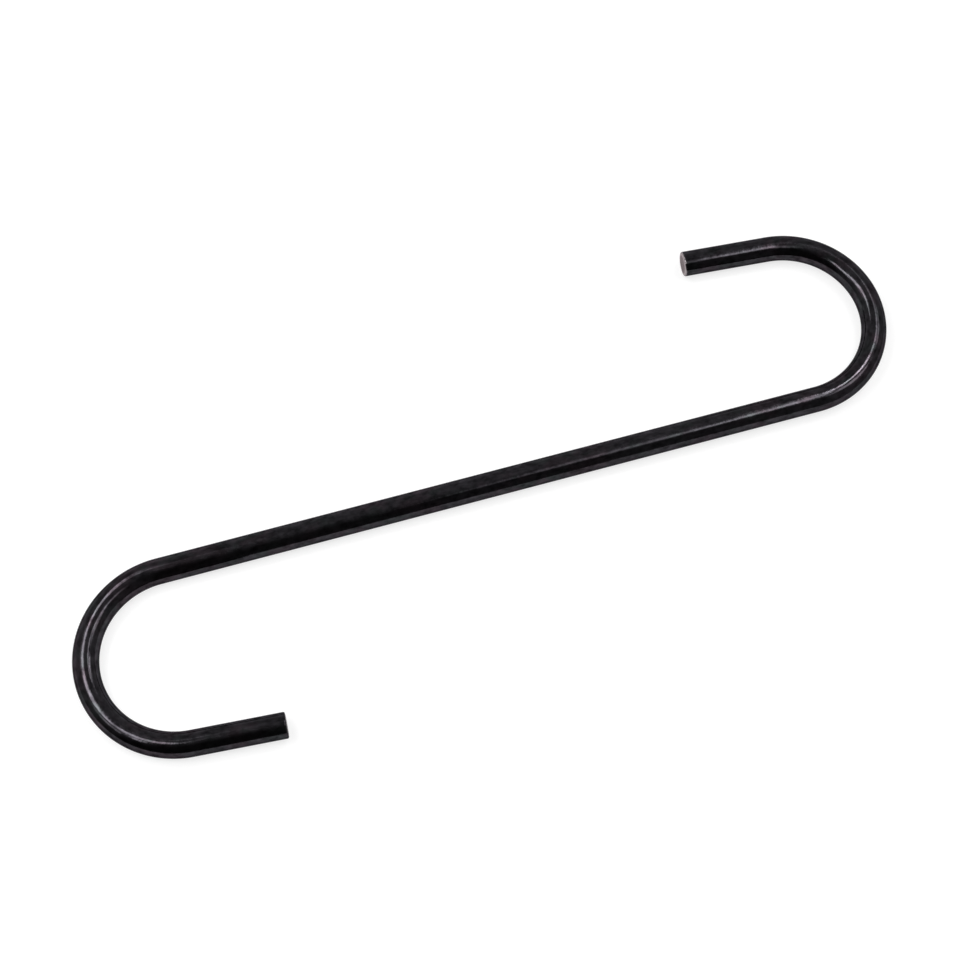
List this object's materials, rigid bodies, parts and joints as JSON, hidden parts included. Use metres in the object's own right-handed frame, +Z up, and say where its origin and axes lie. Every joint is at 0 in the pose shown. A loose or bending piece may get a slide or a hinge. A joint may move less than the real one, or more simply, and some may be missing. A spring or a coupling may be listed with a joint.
{
  "type": "s hook",
  "caption": "Long S-shaped hook bent from round steel rod with a gloss black coating: a straight shank between equal, opposite hooked ends, each with a straight tip cut square.",
  "frame": {"origin": "centre of the hook's outline, on the surface that it lies on", "axes": "+X along the straight shank, +Z up from the surface, +Y towards the side that the +X end bends to"},
  "size_m": [0.205, 0.091, 0.006],
  "materials": {
    "black_coating": "gloss black coating with a faint orange peel"
  },
  "bodies": {
    "root": {"hook_rod": "black_coating"}
  },
  "joints": []
}
